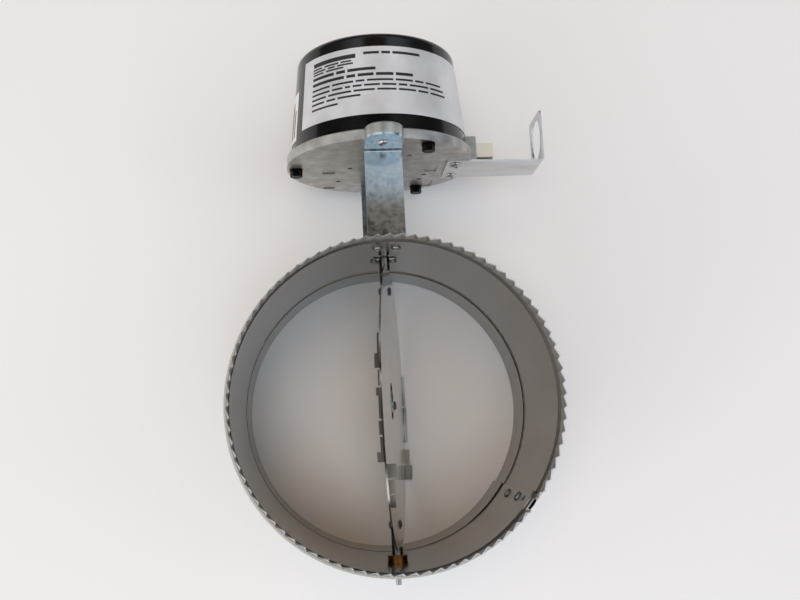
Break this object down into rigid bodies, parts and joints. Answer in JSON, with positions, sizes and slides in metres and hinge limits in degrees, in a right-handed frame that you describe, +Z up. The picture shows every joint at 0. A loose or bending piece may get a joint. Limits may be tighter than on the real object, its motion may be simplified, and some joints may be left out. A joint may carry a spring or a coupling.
{
  "type": "vent damper",
  "caption": "Round sheet-steel vent pipe with a crimped end and a turning damper blade, driven by a covered motor unit on a stand-off bracket.",
  "frame": {"origin": "centre of the pipe's plain end, in the plane of its edge", "axes": "+Z up along the pipe axis to the crimped end, +Y from the pipe towards the drive unit, +X to the plug and conduit strap"},
  "size_m": [0.1913, 0.3128, 0.1681],
  "materials": {
    "galvanised_sheet": "satin",
    "plain_steel": "satin",
    "black_steel": "satin",
    "zinc_plated_strip": "semi-gloss",
    "cast_aluminium": "as cast",
    "black_plastic": "gloss",
    "silver_label": "satin",
    "white_label": "matte",
    "white_nylon": "satin",
    "tinned_brass": "satin",
    "stainless_sheet": "bright",
    "green_board": "satin",
    "motor_shell": "satin"
  },
  "bodies": {
    "housing": {"vent_pipe": "galvanised_sheet", "seam_rivets": "plain_steel", "seam_screw": "black_steel", "standoff_bracket": "zinc_plated_strip", "bracket_rivets": "plain_steel", "ear_rivets": "zinc_plated_strip", "base_casting": "cast_aluminium", "motor_cover": "black_plastic", "cover_screws": "black_steel", "rating_label": "silver_label", "side_label": "white_label", "plug_receptacle": "white_nylon", "contact_pins": "tinned_brass", "conduit_strap": "zinc_plated_strip", "strap_rivets": "plain_steel", "lower_bush": "tinned_brass", "pivot_clip": "plain_steel", "shaft_bush": "tinned_brass", "open_switch": "black_plastic", "closed_switch": "black_plastic", "switch_screws": "plain_steel", "circuit_board": "green_board", "board_screws": "plain_steel", "relay": "black_plastic", "motor_plate": "zinc_plated_strip", "motor_posts": "cast_aluminium", "motor_screws": "plain_steel", "gearbox_case": "black_plastic", "motor_can": "motor_shell"},
    "blade": {"damper_blade": "stainless_sheet", "damper_shaft": "plain_steel", "blade_rivets": "stainless_sheet", "drive_coupling": "cast_aluminium", "coupling_screws": "black_steel", "output_shaft": "plain_steel", "switch_cam": "white_nylon"}
  },
  "joints": [
    {"name": "blade_turn", "type": "hinge", "parent": "housing", "child": "blade", "pos_m": [0, 0, 0.085], "axis": [0, 1, 0], "range_deg": [-82.5, 7.5]}
  ]
}
